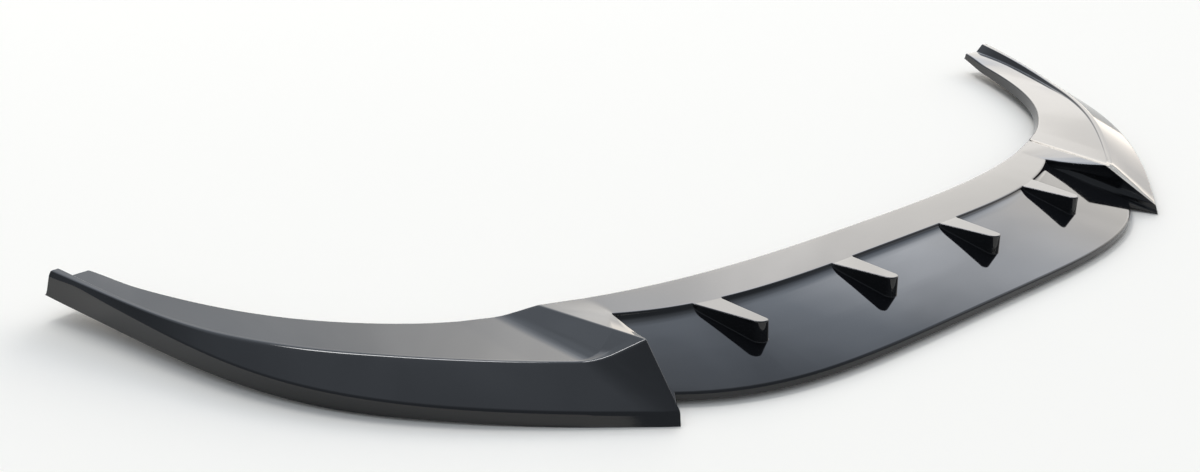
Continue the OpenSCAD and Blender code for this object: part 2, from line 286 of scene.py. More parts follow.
# %% Lines of a fin
def fin_rows(c, d, columns):
    """Points of every line of a fin from the rear edge to the middle of its nose."""
    t = t_of(columns[columns >= 6])
    middle, half, top = fin_middle(c, t), fin_half(t, d), fin_top(t)
    rows = []

    def add(x, z):
        rows.append(np.concatenate([flange_points(x[0], d, columns), blade_points(x, t, d, z)]))

    def wall(side, order):
        foot_x = middle + side * (half + FIN_LEAN)
        height = top - blade_z(foot_x, t)
        out, drop = wall_profile(height, d)
        for k in order:
            x = middle + side * (half + out[k])
            low = k >= len(ARC)
            add(x, blade_z(x, t) + (height - drop[k]) if low else top - drop[k])

    wall(-1, range(wall_n - 1, -1, -1))
    out, _ = wall_profile(top - blade_z(middle + half + FIN_LEAN, t), d)
    inner = half - TOP_ROUND[1] if d else half + out[0]
    for share in NOSE_SHARES[1:-1]:
        add(middle + share * inner, top)
    wall(1, range(wall_n))
    return np.array(rows)


print("a fin has", 2 * wall_n + len(NOSE_SHARES) - 2, "lines")

# %% [markdown]
# The nose turns the same profile through half a circle, and the top is closed by short lines
# that run from the middle of the nose to its edge.

# %% Nose of a fin
TOP_SHARES = (0.0, 0.4, 0.75, 1.0)


def nose_grid(c, d):
    """The wall round the nose: one row for each line of the profile, one column for each angle."""
    r = FIN_NOSE_W / 2 - d
    centre_b = (TIP_T * BLADE_L + d) + r

    def place(out, angle):
        t = (centre_b - (r + out) * np.cos(angle)) / BLADE_L
        return fin_middle(c, t) + (r + out) * np.sin(angle), t

    x, t = place(FIN_LEAN, NOSE_ANGLES)
    height = fin_top(t) - blade_z(x, t)
    out, drop = wall_profile(height, d)
    rows = []
    for k in range(wall_n):
        x, t = place(out[k], NOSE_ANGLES)
        z = blade_z(x, t) + (height - drop[k]) if k >= len(ARC) else fin_top(t) - drop[k]
        rows.append(blade_points(x, t, d, z))
    return np.array(rows)


def nose_top(d, wall):
    """The half round end of a fin's top, from the middle of the nose to the wall's first line."""
    edge = wall[0]
    x = (edge[0] + (edge[-1] - edge[0]) * ((NOSE_SHARES + 1) / 2)[:, None])[:, 0]
    t = np.full(len(x), NOSE_T)
    start = blade_points(x, t, d, fin_top(t))
    return np.array([mix(start, edge, s) for s in TOP_SHARES])


print("nose radius", FIN_NOSE_W / 2, "mm")

# %% [markdown]
# In front of a nose the lines fan out over the blade and run on to the crease. The blade between
# two fins is filled with evenly spaced lines that share the outer lines of both fins.

# %% The blade in front of and between the fins
# how much wider the fan is at the crease
FAN = 0.8


def fan_rows(c, d, wall):
    """Lines from the wall's foot round the nose to the lip."""
    rows = []
    foot = wall[-1]
    t_scale = t_of(FRONT[:-1]) / NOSE_T
    centre_b = TIP_T * BLADE_L + d + (FIN_NOSE_W / 2 - d)
    reach = np.abs(foot[-1, 0] - foot[0, 0]) / 2
    for a, start in zip(NOSE_ANGLES, foot):
        t_start = (centre_b - reach * math.cos(a)) / BLADE_L
        t = t_start * t_scale
        offset = reach * math.sin(a) * (1 + FAN * (1 - t_scale))
        x = fin_middle(c, t) + offset
        points = blade_points(x, t, d)
        points[0] = start
        rows.append(np.concatenate([points, lip_point(x[-1], d)]))
    return np.array(rows)


def edge_x(c, side, d):
    """x of a fin's outermost line at every column from the step to the crease."""
    t = t_of(BACK[BACK >= 6])
    half = fin_half(t, d)
    middle = fin_middle(c, t)
    height = fin_top(t) - blade_z(middle + side * (half + FIN_LEAN), t)
    out, _ = wall_profile(height, d)
    x_back = middle + side * (half + out[-1])
    t_scale = t_of(FRONT[1:-1]) / NOSE_T
    reach = FIN_NOSE_W / 2 - d + out[-1][-1]
    x_front = fin_middle(c, t_scale * NOSE_T) + side * reach * (1 + FAN * (1 - t_scale))
    return np.concatenate([x_back, x_front])


BLADE_T = t_of(ALL[(ALL >= 6) & (ALL <= 13)])


def end_x(side):
    return side * mix(CREASE[1], STEP[1], BLADE_T)


def plain_row(x, d):
    """A whole line of the centre with no fin on it, from its x at every column of the blade."""
    return np.concatenate([flange_points(x[0], d, ALL), blade_points(x, BLADE_T, d),
                           lip_point(x[-1], d)])


GAP_LINES, END_LINES = 9, 6
fin_centres = [(k - (FIN_N - 1) / 2) * FIN_PITCH for k in range(FIN_N)]
print("fins at x =", fin_centres)

# %% [markdown]
# ## Putting the centre together
#
# The centre of one face of the sheet is a list of grids: the strips between fins, the fins
# themselves, their noses, and the fans in front. They share their border points, so they can be
# welded afterwards. A sheet drawn over a mould is rounder on its show side than on its back, so
# the folds of the back are small.

# %% Grids of the centre
FOLD, EDGE_FOLD, CREASE_FOLD, INNER_FOLD = 2.0, 3.0, 3.0, 0.8
# the foot of the step is hollow: short on the step and long on the blade
STEP_FOOT = (4.0, 16.0, 0.62)


def column_cuts(columns, d):
    inner = {c: fold(INNER_FOLD) for c in (1, 3, 4, 5, 13)} | {6: fold(FOLD)}
    outer = {1: fold(EDGE_FOLD), 3: fold(FOLD), 4: fold(FOLD), 5: fold(FOLD), 6: STEP_FOOT,
             13: fold(CREASE_FOLD)}
    return cut_map(columns, inner if d else outer)


def between(a, b, n, ends=(True, True)):
    places = np.arange(0 if ends[0] else 1, n + 2 if ends[1] else n + 1) / (n + 1)
    return [mix(a, b, s) for s in places]


def centre_grids(d):
    """All grids of the centre, and the last two whole lines on the right."""
    grids = []
    first, last = fin_centres[0], fin_centres[-1]
    left = between(end_x(-1), edge_x(first, -1, d), END_LINES, (False, True))
    right = between(edge_x(last, 1, d), end_x(1), END_LINES, (True, False))
    gaps = [left, right] + [
        between(edge_x(a, 1, d), edge_x(b, -1, d), GAP_LINES)
        for a, b in zip(fin_centres, fin_centres[1:])]
    for lines in gaps:
        grids.append(round_columns(np.array([plain_row(x, d) for x in lines]),
                                   column_cuts(ALL, d)))
    for c in fin_centres:
        wall = nose_grid(c, d)
        grids.append(round_columns(fin_rows(c, d, BACK), column_cuts(BACK, d)))
        grids.append(wall)
        grids.append(nose_top(d, wall))
        grids.append(round_columns(fan_rows(c, d, wall), column_cuts(FRONT, d)))
    return grids, plain_row(right[-1], d), plain_row(end_x(1), d)


upper_centre, upper_inner_line, upper_end_line = centre_grids(0.0)
lower_centre, lower_inner_line, _ = centre_grids(SHEET)
print(len(upper_centre), "grids in the centre,",
      sum(g.shape[0] * g.shape[1] for g in upper_centre), "points")

# %% [markdown]
# ## The wings
#
# A wing is a long shallow channel in reverse: a turned-down inner edge, a flat plate, an
# upstanding rim that grows towards the tip, a drafted outer wall and a skirt. Seen from above its
# three long lines are smooth curves, so each is one Bezier curve. Its pulls are the lengths and
# angles of its handles at the front and at the tip.

# %% Plan and heights of a wing
SPAN_W, WING_DEPTH, TIP_W, TIP_RAKE = 1800.0, 607.0, 46.0, 14.0
SKIRT_FLARE, FRONT_FLARE, CREST_INSET, RAMP_W, RAMP_ANGLE = 8.0, 4.5, 3.0, 42.0, 30.0
PEAK = np.array([432.0, 76.0, 55.5])
CORNER_X, SKIRT_H = 449.0, 13.5
PLATE_Z, PLATE_TIP_RISE, CREST_Z, CREST_TIP_RISE = 34.0, 5.0, 43.0, 13.0
RIM_H, RIM_TIP_H, RIM_W, RIM_TIP_W, RIM_RUN, RIM_TILT = 2.5, 15.0, 5.0, 9.0, 0.75, 0.18
SKIRT_TIP_Z, TIP_LIFT, WING_ARCH = 51.0, 28.0, 3.2
# how much lower the plate and the crest are at the ramp than further back
PLATE_DIP, CREST_DIP = 3.0, 4.0
INNER_PULLS = (214, 18), (120, 63)
CREST_PULLS = (285, 35), (281, 69)
CORNER_PULLS = (409, 33), (310, 68)


def pull(length, angle):
    return length * np.array([math.cos(math.radians(angle)), math.sin(math.radians(angle))])


def curve(a, b, pulls, s):
    a, b = np.array(a), np.array(b)
    p, q, r = a + pull(*pulls[0]), b - pull(*pulls[1]), 1 - s
    return r ** 3 * a + 3 * r * r * s * p + 3 * r * s * s * q + s ** 3 * b


half_span = SPAN_W / 2 - SKIRT_FLARE
foot_back = np.array([REAR[1], REAR_Y + REAR[0]]) + pull(RAMP_W, RAMP_ANGLE)
CREST_START = [50, 16]
foot_front = PEAK[:2] + CREST_START
front_out = FRONT_FLARE * np.array([0.6, -1])
ridge_back = np.array([REAR[1], REAR_Y + REAR[0], FLANGE_Z])


def edge_curve(s):
    return curve(foot_back, [half_span - TIP_W, WING_DEPTH + TIP_RAKE], INNER_PULLS, s)


def crest_curve(s):
    return curve(foot_front, [half_span - CREST_INSET, WING_DEPTH], CREST_PULLS, s)


def corner_curve(s):
    return curve([CORNER_X, 0], [half_span, WING_DEPTH], CORNER_PULLS, s)


print("the crest ends at", crest_curve(1.0).round(1), "mm")

# %% [markdown]
# ## A wing's cross-section
#
# Every cross-section has eight key points, from the foot of the inner edge to the foot of the
# skirt. Their heights change along the wing, and a share s tells where: 0 is the ramp's foot and
# 1 the tip. Smooth steps in s blend one height into the next, as a sheet drawn over a mould does.

# %% Key points of a cross-section
# the corner's line starts a little late, so that the first section stands behind the ridge
CORNER_START = 0.015


def plate_z(s):
    return PLATE_Z - PLATE_DIP * (1 - smooth(s / 0.3)) + PLATE_TIP_RISE * smooth((s - 0.8) / 0.2)


def crest_z(s):
    return (CREST_Z - CREST_DIP * (1 - smooth(s / 0.35))
            + CREST_TIP_RISE * smooth((s - 0.6) / 0.5) / smooth(0.8))


def skirt_z(s):
    """Height of the crease line above the skirt."""
    return mix(SKIRT_H, SKIRT_TIP_Z, 0.52 * s + 0.48 * s ** 3.2)


def foot_z(s):
    """Height of the skirt's foot: a low arch, then a rise to the tip."""
    u = clamp((s - 0.4) / 0.6)
    return mix(WING_ARCH * smooth((s - 0.06) / 0.2), TIP_LIFT, (u + u ** 5) / 2)


def wing_keys(s):
    """Eight key points of a wing's cross-section, from 0 at the ramp's foot to 1 at the tip."""
    i, c, k = edge_curve(s), crest_curve(s), corner_curve(max(s, CORNER_START))
    plate, z = plate_z(s), crest_z(s)
    inward = unit(i - c)
    rim_h, rim_w = mix(RIM_H, RIM_TIP_H, s ** 3), mix(RIM_W, RIM_TIP_W, s)
    rim_foot = c + inward * (rim_w + rim_h * RIM_RUN)
    depth = RETURN_H * (1 - 0.4 * s ** 4)
    lean = RETURN_LEAN * (1 - 0.85 * smooth(s / 0.4))
    return np.array([
        [*(i + inward * lean), plate - depth],
        [*i, plate],
        [*mix(i, rim_foot, 0.5), mix(plate, z - rim_h, 0.5)],
        [*rim_foot, z - rim_h],
        [*(c + inward * rim_w), z - RIM_TILT * rim_w * (1 - 0.7 * s)],
        [*c, z],
        [*k, skirt_z(s)],
        [*(k - inward * SKIRT_FLARE * s ** 3 + front_out * (1 - s) ** 4), foot_z(s)]])


# the first step is long enough for the wide fold at the ramp's foot
STATIONS = np.concatenate([[0, 0.075], np.linspace(0.09, 1, 56)])
sections = np.array([wing_keys(s) for s in STATIONS])
print(len(STATIONS), "sections, tip at", sections[-1][6].round(1), "mm")

# %% [markdown]
# ## Ramp, tip and whole cross-sections
#
# Between the flange and a wing stands a ramp with a sharp peak. Its ridge is one more row of key
# points. The closed tip drops the last section to a straight lower edge. A full cross-section
# fills in the columns between its key points, with a small arc along the skirt's upper line.

# %% Ridge and full sections
BEVEL = 2.2
# where the extra columns stand on the outer wall and on the skirt
WALL_COLUMNS, SKIRT_COLUMNS = (0.25, 0.6), (0.2, 0.4, 0.6, 0.8, 1.0)
ridge_keys = np.array([
    ridge_back + [RETURN_LEAN * 0.4, RETURN_LEAN * 0.9, -RETURN_H], ridge_back,
    *(mix(ridge_back, PEAK, g) for g in FLANGE_SHARES),
    PEAK, [CORNER_X, 0, SKIRT_H], [CORNER_X + front_out[0], front_out[1], 0]])


def at_columns(points, columns):
    """A line with a point for each whole column, read at any columns."""
    return np.stack([np.interp(columns, range(len(points)), points[:, a]) for a in range(3)], 1)


def full(k):
    """A cross-section at every column, from its eight key points."""
    over = k[6] + unit(k[5] - k[6]) * BEVEL
    below = k[6] + unit(k[7] - k[6]) * BEVEL
    points = np.array([*k[:6], *(mix(k[5], k[6], f) for f in WALL_COLUMNS), over, below,
                       *(mix(below, k[7], f) for f in SKIRT_COLUMNS)])
    row = at_columns(points, ALL)
    for j, c in enumerate(ALL):
        if 8 < c < 9:
            row[j] = bezier(over, k[6], below, c - 8)
    return row


print("the ridge falls from", PEAK[2], "to", FLANGE_Z, "mm")

# %% [markdown]
# ## The closed tip and the origin
#
# The tip's lower edge is straight, a little behind the last section. Its points are spread so that
# each stands close below the part of the section that it closes. The origin is half way between
# that edge and the front lip, where the CAD part has it too.

# %% Closed tip and origin
TIP_TURN, TIP_HEADING = 2.5, 66
LAST_COLUMN = 14
last = sections[-1]
across = (last[7] - last[0])[:2]
end_shares = [float(clamp((p - last[0])[:2] @ across / (across @ across))) for p in last]
END_TURN = np.array([*pull(TIP_TURN, TIP_HEADING), 0])


def end_points(a, b):
    """The straight lower edge of the closed tip, from the inner foot a to the outer foot b."""
    evenly = [j / LAST_COLUMN for j in range(6)]
    shares = [mix(share, even, 0.5) for share, even in zip(end_shares, evenly)]
    shares += [mix(shares[5], 1, j / 9) for j in range(1, 10)]
    return np.array([mix(a, b, share) + END_TURN for share in shares])


front_y = -BLADE_REACH - LIP_LEAN
back_y = end_points(last[0], last[7])[0][1]
ORIGIN_Y = (front_y + back_y) / 2
print("the origin is", round(ORIGIN_Y, 2), "mm behind the wings' front corners")

# %% [markdown]
# ## The back of the sheet
#
# The sheet is 4 mm thick everywhere. A Solidify modifier would move each point along its normal,
# which makes the thickness wrong at sharp folds. Here each point of the back is the place that is
# 4 mm inside all the panels that meet there, found as a least-squares solution.

# %% Offset to the back of the sheet
# a little pull towards the mean normal, a strong one that keeps cut edges level, and the furthest
# that a sharp fold may move its point, in sheets
HOLD, STAY_LEVEL, MITRE = 0.05, 1000.0, 2.2


def lower_rows(grid, first, last_row):
    """The back's points for the rows from first to last_row of a grid of the show side."""
    a = grid[:-1, 1:] - grid[1:, :-1]
    b = grid[1:, 1:] - grid[:-1, :-1]
    normals = unit(np.cross(a, b))
    n = grid.shape[1]
    out = []
    for i in range(first, last_row + 1):
        row = []
        for j in range(n):
            near = normals[i - 1:i + 1, max(0, j - 1):min(n - 2, j) + 1].reshape(-1, 3)
            mean = unit(near.sum(0))
            m = near.T @ near + HOLD * np.eye(3)
            if j in (0, n - 1):
                m[2, 2] += STAY_LEVEL
            d = np.linalg.solve(m, near.sum(0) + HOLD * mean)
            row.append(grid[i][j] - SHEET * d * min(1, MITRE / np.linalg.norm(d)))
        out.append(row)
    return np.array(out)


KEY_COLUMNS = [0, 1, 2, 3, 4, 5, 13, 14]
key_places = [int(np.where(ALL == c)[0][0]) for c in KEY_COLUMNS]
upper_end = end_points(last[0], last[7])
key_grid = np.array([upper_end_line[key_places], ridge_keys, *sections, upper_end[KEY_COLUMNS]])
lower_keys = lower_rows(key_grid, 1, len(key_grid) - 2)
corner = lower_rows(np.array([upper_inner_line, upper_end_line, full(ridge_keys)]), 1, 1)[0]
lower_end = end_points(lower_keys[-1][0], lower_keys[-1][7])
print("back of the sheet at the ridge", lower_keys[0][5].round(1))

# %% [markdown]
# ## The grid of a wing
#
# The rows of the wing's grid start on the blade, turn up the end wall, go over the ridge and down
# the ramp, follow the wing and end at the tip. The wide fold at the ramp's foot is what lets the
# ramp run softly into the plate.

# %% Folds of a wing
RAMP_SHARES = (0.12, 0.25)
WALL_SHARES = (0.25, 0.5, 0.75)
TIP_FOLD, WALL_FOOT, SOFT_FOLD = 1.0, 0.6, 6.0
# further back the crest is softer than the centre's folds, and the rim's inner edge is sharper
CREST_FOLD, RIM_FOLD = 4.0, 0.8
on_flange = (ALL >= 1) & (ALL <= 5)
# sharp at the foot of the end wall, soft where the flange begins to rise
end_fold = np.where(on_flange & (ALL < 5), SOFT_FOLD, WALL_FOOT)[:, None]
# wide where the ramp meets the crest, narrower at its back
foot_fold = np.interp(ALL, [1, 5, 9, 14], [12, 24, 20, 8])[:, None]


def wing_column_cuts(rows, d):
    """The folds along a wing. Behind the ramp, two of them change from row to row."""
    cuts = column_cuts(ALL, d)
    if d:
        return cuts
    row = np.arange(rows)
    # the wide fold at the ramp's foot ends at about row 14
    rim_edge = np.interp(row, [17, 24], [FOLD, RIM_FOLD])[:, None]
    crest = np.interp(row, [14, 24], [FOLD, CREST_FOLD])[:, None]
    return cuts | cut_map(ALL, {4: (rim_edge, rim_edge, 0.4), 5: (crest, crest, 0.8)})


print("the fold at the ramp's foot reaches", foot_fold.min(), "to", foot_fold.max(), "mm")

# %% Wing grids
def eased(end_line, ridge, s):
    """A row between the end of the centre and the ridge. The flange rises slowly at first."""
    row = mix(end_line, ridge, s)
    rise = (ridge - end_line)[:, 2]
    row[:, 2] -= np.where(on_flange, 0.5 * rise * s * (1 - s), 0)
    return row


def wing_grid(inner_line, end_line, ridge, rows, end, d):
    wall = [eased(end_line, ridge, s) for s in WALL_SHARES]
    ramp = [mix(ridge, rows[0], s) for s in RAMP_SHARES]
    grid = np.array([inner_line, end_line, *wall, ridge, *ramp, *rows, end])
    top = 2 + len(wall)
    cuts = {1: (end_fold, end_fold, 0.4), top: fold(INNER_FOLD if d else FOLD),
            top + len(ramp) + 1: (foot_fold, foot_fold, 0.6),
            len(grid) - 2: fold(INNER_FOLD if d else TIP_FOLD)}
    grid = round_rows(grid, cuts)
    return round_columns(grid, wing_column_cuts(len(grid), d))


upper_wing = wing_grid(upper_inner_line, upper_end_line, full(ridge_keys),
                       [full(k) for k in sections], at_columns(upper_end, ALL), 0.0)
lower_wing = wing_grid(lower_inner_line, corner, full(lower_keys[0]),
                       [full(k) for k in lower_keys[1:]], at_columns(lower_end, ALL), SHEET)
print("a wing's grid is", upper_wing.shape[0], "by", upper_wing.shape[1])

# %% [markdown]
# ## One closed mesh
#
# The grids of both faces become quads, and narrow strips close the cut edges of the sheet. Each
# grid is a patch with a kind: 0 is the show side, 1 the back and 2 a cut edge, which later picks
# its material. The left half is the right half mirrored, and a mirrored patch turns its quads
# round, so that they still face out.

# %% Patches
SHOW, BACK_SIDE, CUT = 0, 1, 2


def grid_quads(grid, flip):
    rows, columns = grid.shape[:2]
    i, j = np.meshgrid(np.arange(rows - 1), np.arange(columns - 1), indexing="ij")
    a = (i * columns + j).ravel()
    quads = np.stack([a, a + 1, a + columns + 1, a + columns], 1)
    return quads[:, ::-1] if flip else quads


def mirror(grid):
    return grid * [-1, 1, 1]


patches = []
for upper, lower in zip(upper_centre, lower_centre):
    patches += [(upper, False, SHOW), (lower, True, BACK_SIDE)]
for side in (1, -1):
    turn = (lambda g: g) if side == 1 else mirror
    patches += [(turn(upper_wing), side < 0, SHOW), (turn(lower_wing), side > 0, BACK_SIDE)]
    for column in (0, -1):
        patches.append((turn(np.stack([upper_wing[:, column], lower_wing[:, column]])),
                        (side > 0) == (column == 0), CUT))
    patches.append((turn(np.stack([upper_wing[-1], lower_wing[-1]])), side < 0, CUT))
for k, (upper, lower) in enumerate(zip(upper_centre, lower_centre)):
    role = "gap" if k < FIN_N + 1 else ("fin", "wall", "top", "fan")[(k - FIN_N - 1) % 4]
    if role in ("gap", "fin"):
        patches.append((np.stack([upper[:, 0], lower[:, 0]]), True, CUT))
    if role in ("gap", "fan"):
        patches.append((np.stack([upper[:, -1], lower[:, -1]]), False, CUT))
print(len(patches), "patches")

# %% [markdown]
# All patches go into one mesh, and it is welded into one closed body, because the real part is one
# piece. The weld joins points that are closer than 2 thousandths of a millimetre: border points
# agree to far less, and the smallest real step is far more.

# %% Make and weld the mesh
WELD, TOO_SHORT = 2e-6, 1e-6
points, faces, faces_of = [], [], []
start = 0
for grid, flip, kind in patches:
    quads = grid_quads(grid, flip) + start
    points.append(grid.reshape(-1, 3))
    faces.append(quads)
    faces_of += [kind] * len(quads)
    start += grid.shape[0] * grid.shape[1]
points = (np.concatenate(points) - [0, ORIGIN_Y, 0]) / 1000
mesh = bpy.data.meshes.new("splitter_lip_sheet")
mesh.from_pydata(points.tolist(), [], np.concatenate(faces).tolist())
mesh.polygons.foreach_set("material_index", faces_of)
sheet = bpy.data.objects.new("splitter_lip_sheet", mesh)
bpy.context.scene.collection.objects.link(sheet)

work = bmesh.new()
work.from_mesh(mesh)
bmesh.ops.remove_doubles(work, verts=work.verts, dist=WELD)
bmesh.ops.dissolve_degenerate(work, dist=TOO_SHORT, edges=work.edges)
bmesh.ops.recalc_face_normals(work, faces=work.faces)
open_edges = [e for e in work.edges if len(e.link_faces) != 2]
volume = work.calc_volume(signed=True)
if volume < 0:
    bmesh.ops.reverse_faces(work, faces=work.faces)
work.to_mesh(mesh)
work.free()
print(len(mesh.vertices), "points,", len(mesh.polygons), "faces,", len(open_edges), "open edges,",
      round(abs(volume) * 1e3, 3), "litres")

# %% [markdown]
# A cut edge is really sharp, so edges over 40 degrees stay sharp. Everything else is shaded smooth,
# and the weighted normals keep the big panels flat right up to their folds, which is what makes
# clean reflections in a gloss finish.

# %% Smooth shading with sharp cut edges
SHARP = 40
mesh.shade_smooth()
mesh.set_sharp_from_angle(angle=math.radians(SHARP))
weighted = sheet.modifiers.new("weighted_normals", "WEIGHTED_NORMAL")
weighted.keep_sharp = True
weighted.mode = "FACE_AREA"
print("sharp edges marked over", SHARP, "degrees")

# %% [markdown]
# ## Colours and nodes
#
# Colours are written as sRGB hex values, the way a paint or plastic sample is measured, and one
# function turns them into the linear numbers that the shader needs. One more function adds a node
# with its settings and links. A socket is given by its name, or by its place where two sockets of
# a node share a name, as those of a Math node do.

# %% Helpers for materials
def linear(hex_colour):
    parts = [int(hex_colour[i:i + 2], 16) / 255 for i in (1, 3, 5)]
    return tuple(c / 12.92 if c <= 0.04045 else ((c + 0.055) / 1.055) ** 2.4 for c in parts) + (1.0,)


def add_node(tree, kind, settings=None, links=None):
    """Adds a node, sets its fields and sockets, and links sockets to other nodes' outputs."""
    node = tree.nodes.new(kind)
    for name, value in (settings or {}).items():
        if isinstance(name, int) or name in node.inputs:
            node.inputs[name].default_value = value
        else:
            setattr(node, name, value)
    for name, (source, output) in (links or {}).items():
        tree.links.new(source.outputs[output], node.inputs[name])
    return node


def new_material(name):
    material = bpy.data.materials.new(name)
    material.use_nodes = True
    material.node_tree.nodes.clear()
    return material


print("black ABS in linear light", [round(c, 4) for c in linear("#08090b")[:3]])

# %% [markdown]
# ## Gloss black ABS
#
# The show side is a gloss ABS sheet that was drawn over a polished mould. The eye gets almost no
# colour from it, only what it mirrors: the reflectance of a plastic with an IOR of about 1.5 is
# 4% looked at squarely and far more at a low angle. Drawing leaves a faint waviness some
# centimetres long, and the sheet has orange peel of about 2 mm. Both bend the reflections a
# little, which is what tells plastic from glass. Fine dust and wipe marks vary the roughness.

# %% Gloss black ABS
MM = 0.001
gloss = new_material("gloss_abs_show_side")
tree = gloss.node_tree
place = add_node(tree, "ShaderNodeTexCoord")
# a noise repeats about once in 1 / scale metres
waviness = add_node(tree, "ShaderNodeTexNoise", {"Scale": 1 / (90 * MM), "Detail": 1.0},
                    {"Vector": (place, "Object")})
peel = add_node(tree, "ShaderNodeTexNoise", {"Scale": 1 / (2.5 * MM), "Detail": 1.0},
                {"Vector": (place, "Object")})
wipe = add_node(tree, "ShaderNodeTexNoise", {"Scale": 1 / (160 * MM), "Detail": 5.0, "Roughness": 0.6},
                {"Vector": (place, "Object")})
rough = add_node(tree, "ShaderNodeMapRange", {"From Min": 0.35, "From Max": 0.7,
                                              "To Min": 0.035, "To Max": 0.09},
                 {"Value": (wipe, "Fac")})
slow = add_node(tree, "ShaderNodeBump", {"Strength": 0.35, "Distance": 0.6 * MM},
                {"Height": (waviness, "Fac")})
fine = add_node(tree, "ShaderNodeBump", {"Strength": 0.12, "Distance": 0.02 * MM},
                {"Height": (peel, "Fac"), "Normal": (slow, "Normal")})
black = add_node(tree, "ShaderNodeMixRGB", {"Color1": linear("#08090b"), "Color2": linear("#121316")},
                 {"Fac": (wipe, "Fac")})
shader = add_node(tree, "ShaderNodeBsdfPrincipled", {"IOR": 1.5},
                  {"Base Color": (black, "Color"), "Roughness": (rough, "Result"),
                   "Normal": (fine, "Normal")})
add_node(tree, "ShaderNodeOutputMaterial", links={"Surface": (shader, "BSDF")})
sheet.data.materials.append(gloss)
print("gloss material with", len(tree.nodes), "nodes")

# %% [markdown]
# ## The back of the sheet and its cut edges
#
# Only the show side is glossy. The back keeps the sheet's own satin face, with a fine grain from
# the rollers that made the sheet. The cut edge was trimmed by a router: it is matt, a little
# greyer, and has fine lines along its length.

# %% Satin back
satin = new_material("satin_sheet_back_abs")
tree = satin.node_tree
place = add_node(tree, "ShaderNodeTexCoord")
grain = add_node(tree, "ShaderNodeTexNoise", {"Scale": 1 / (1.2 * MM), "Detail": 2.0},
                 {"Vector": (place, "Object")})
cloud = add_node(tree, "ShaderNodeTexNoise", {"Scale": 1 / (120 * MM), "Detail": 4.0},
                 {"Vector": (place, "Object")})
rough = add_node(tree, "ShaderNodeMapRange", {"From Min": 0.3, "From Max": 0.7,
                                              "To Min": 0.34, "To Max": 0.48},
                 {"Value": (cloud, "Fac")})
bump = add_node(tree, "ShaderNodeBump", {"Strength": 0.4, "Distance": 0.05 * MM},
                {"Height": (grain, "Fac")})
black = add_node(tree, "ShaderNodeMixRGB", {"Color1": linear("#15161a"), "Color2": linear("#1d1e22")},
                 {"Fac": (cloud, "Fac")})
shader = add_node(tree, "ShaderNodeBsdfPrincipled", {"IOR": 1.5},
                  {"Base Color": (black, "Color"), "Roughness": (rough, "Result"),
                   "Normal": (bump, "Normal")})
add_node(tree, "ShaderNodeOutputMaterial", links={"Surface": (shader, "BSDF")})
sheet.data.materials.append(satin)
print("satin material with", len(tree.nodes), "nodes")

# %% Routed edge
edge = new_material("routed_abs_edge")
tree = edge.node_tree
place = add_node(tree, "ShaderNodeTexCoord")
# the router's lines run along the edge, level with the ground, about every 0.8 mm
stretch = add_node(tree, "ShaderNodeMapping", {"Scale": (20, 20, 1 / (0.8 * MM))},
                   {"Vector": (place, "Object")})
lines = add_node(tree, "ShaderNodeTexNoise", {"Scale": 1.0, "Detail": 2.0},
                 {"Vector": (stretch, "Vector")})
bump = add_node(tree, "ShaderNodeBump", {"Strength": 0.5, "Distance": 0.05 * MM},
                {"Height": (lines, "Fac")})
grey = add_node(tree, "ShaderNodeMixRGB", {"Color1": linear("#1b1c1f"), "Color2": linear("#2a2b2e")},
                {"Fac": (lines, "Fac")})
shader = add_node(tree, "ShaderNodeBsdfPrincipled", {"IOR": 1.5, "Roughness": 0.55},
                  {"Base Color": (grey, "Color"), "Normal": (bump, "Normal")})
add_node(tree, "ShaderNodeOutputMaterial", links={"Surface": (shader, "BSDF")})
sheet.data.materials.append(edge)
print("materials", [m.name for m in sheet.data.materials])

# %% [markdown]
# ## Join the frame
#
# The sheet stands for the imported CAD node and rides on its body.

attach(sheet, "root")
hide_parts("splitter_lip")
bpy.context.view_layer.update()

# %% [markdown]
# ## Floor
#
# A plain pale floor carries the shadow. It is matt, like studio paper, and so large that no edge
# of it shows.

# %% Floor
FLOOR_SIZE = 60.0
floor_mesh = bpy.data.meshes.new("floor")
h = FLOOR_SIZE / 2
floor_mesh.from_pydata([(-h, -h, 0), (h, -h, 0), (h, h, 0), (-h, h, 0)], [], [(0, 1, 2, 3)])
floor = bpy.data.objects.new("floor", floor_mesh)
bpy.context.scene.collection.objects.link(floor)
paper = new_material("matt_paper_floor")
tree = paper.node_tree
shader = add_node(tree, "ShaderNodeBsdfPrincipled",
                  {"Base Color": linear("#fffaf1"), "Roughness": 1.0, "IOR": 1.2})
add_node(tree, "ShaderNodeOutputMaterial", links={"Surface": (shader, "BSDF")})
floor_mesh.materials.append(paper)
print("floor", FLOOR_SIZE, "m square")

# %% [markdown]
# ## Light
#
# A gloss black part is lit by what it mirrors, and soft boxes with hard edges would draw lines on
# it. So the world is one wide gradient in two layers. The first is cool and even all round, with a
# soft glow high at the back, which the ramps and the near plate mirror. The second is warm and
# bright at the back on the right, from the horizon to half way up, where the flange, the fins' tops
# and the far wing look.

# %% Directions
def toward(azimuth, elevation):
    """A direction; azimuth 0 is straight back and 90 is to the right."""
    a, e = math.radians(azimuth), math.radians(elevation)
    return (math.cos(e) * math.sin(a), math.cos(e) * math.cos(a), math.sin(e))


print("straight back is", toward(0, 0))

# %% Levels of the light
# what lights the part, in strengths where 1 is white
EVEN, GLOW, GLOW_POWER, BRIGHT = 0.40, 1.2, 6.0, 5.0
GLOW_FROM = (22, 48)
# the bright side's strength at an azimuth
SIDE_STOPS = ((-60, 0.0), (-12, 0.1), (8, 0.35), (20, 0.7), (30, 1.8), (38, 3.5), (46, 4.0),
              (54, 4.0), (64, 3.7), (76, 3.9), (95, 2.4), (125, 0.3), (150, 0.0))
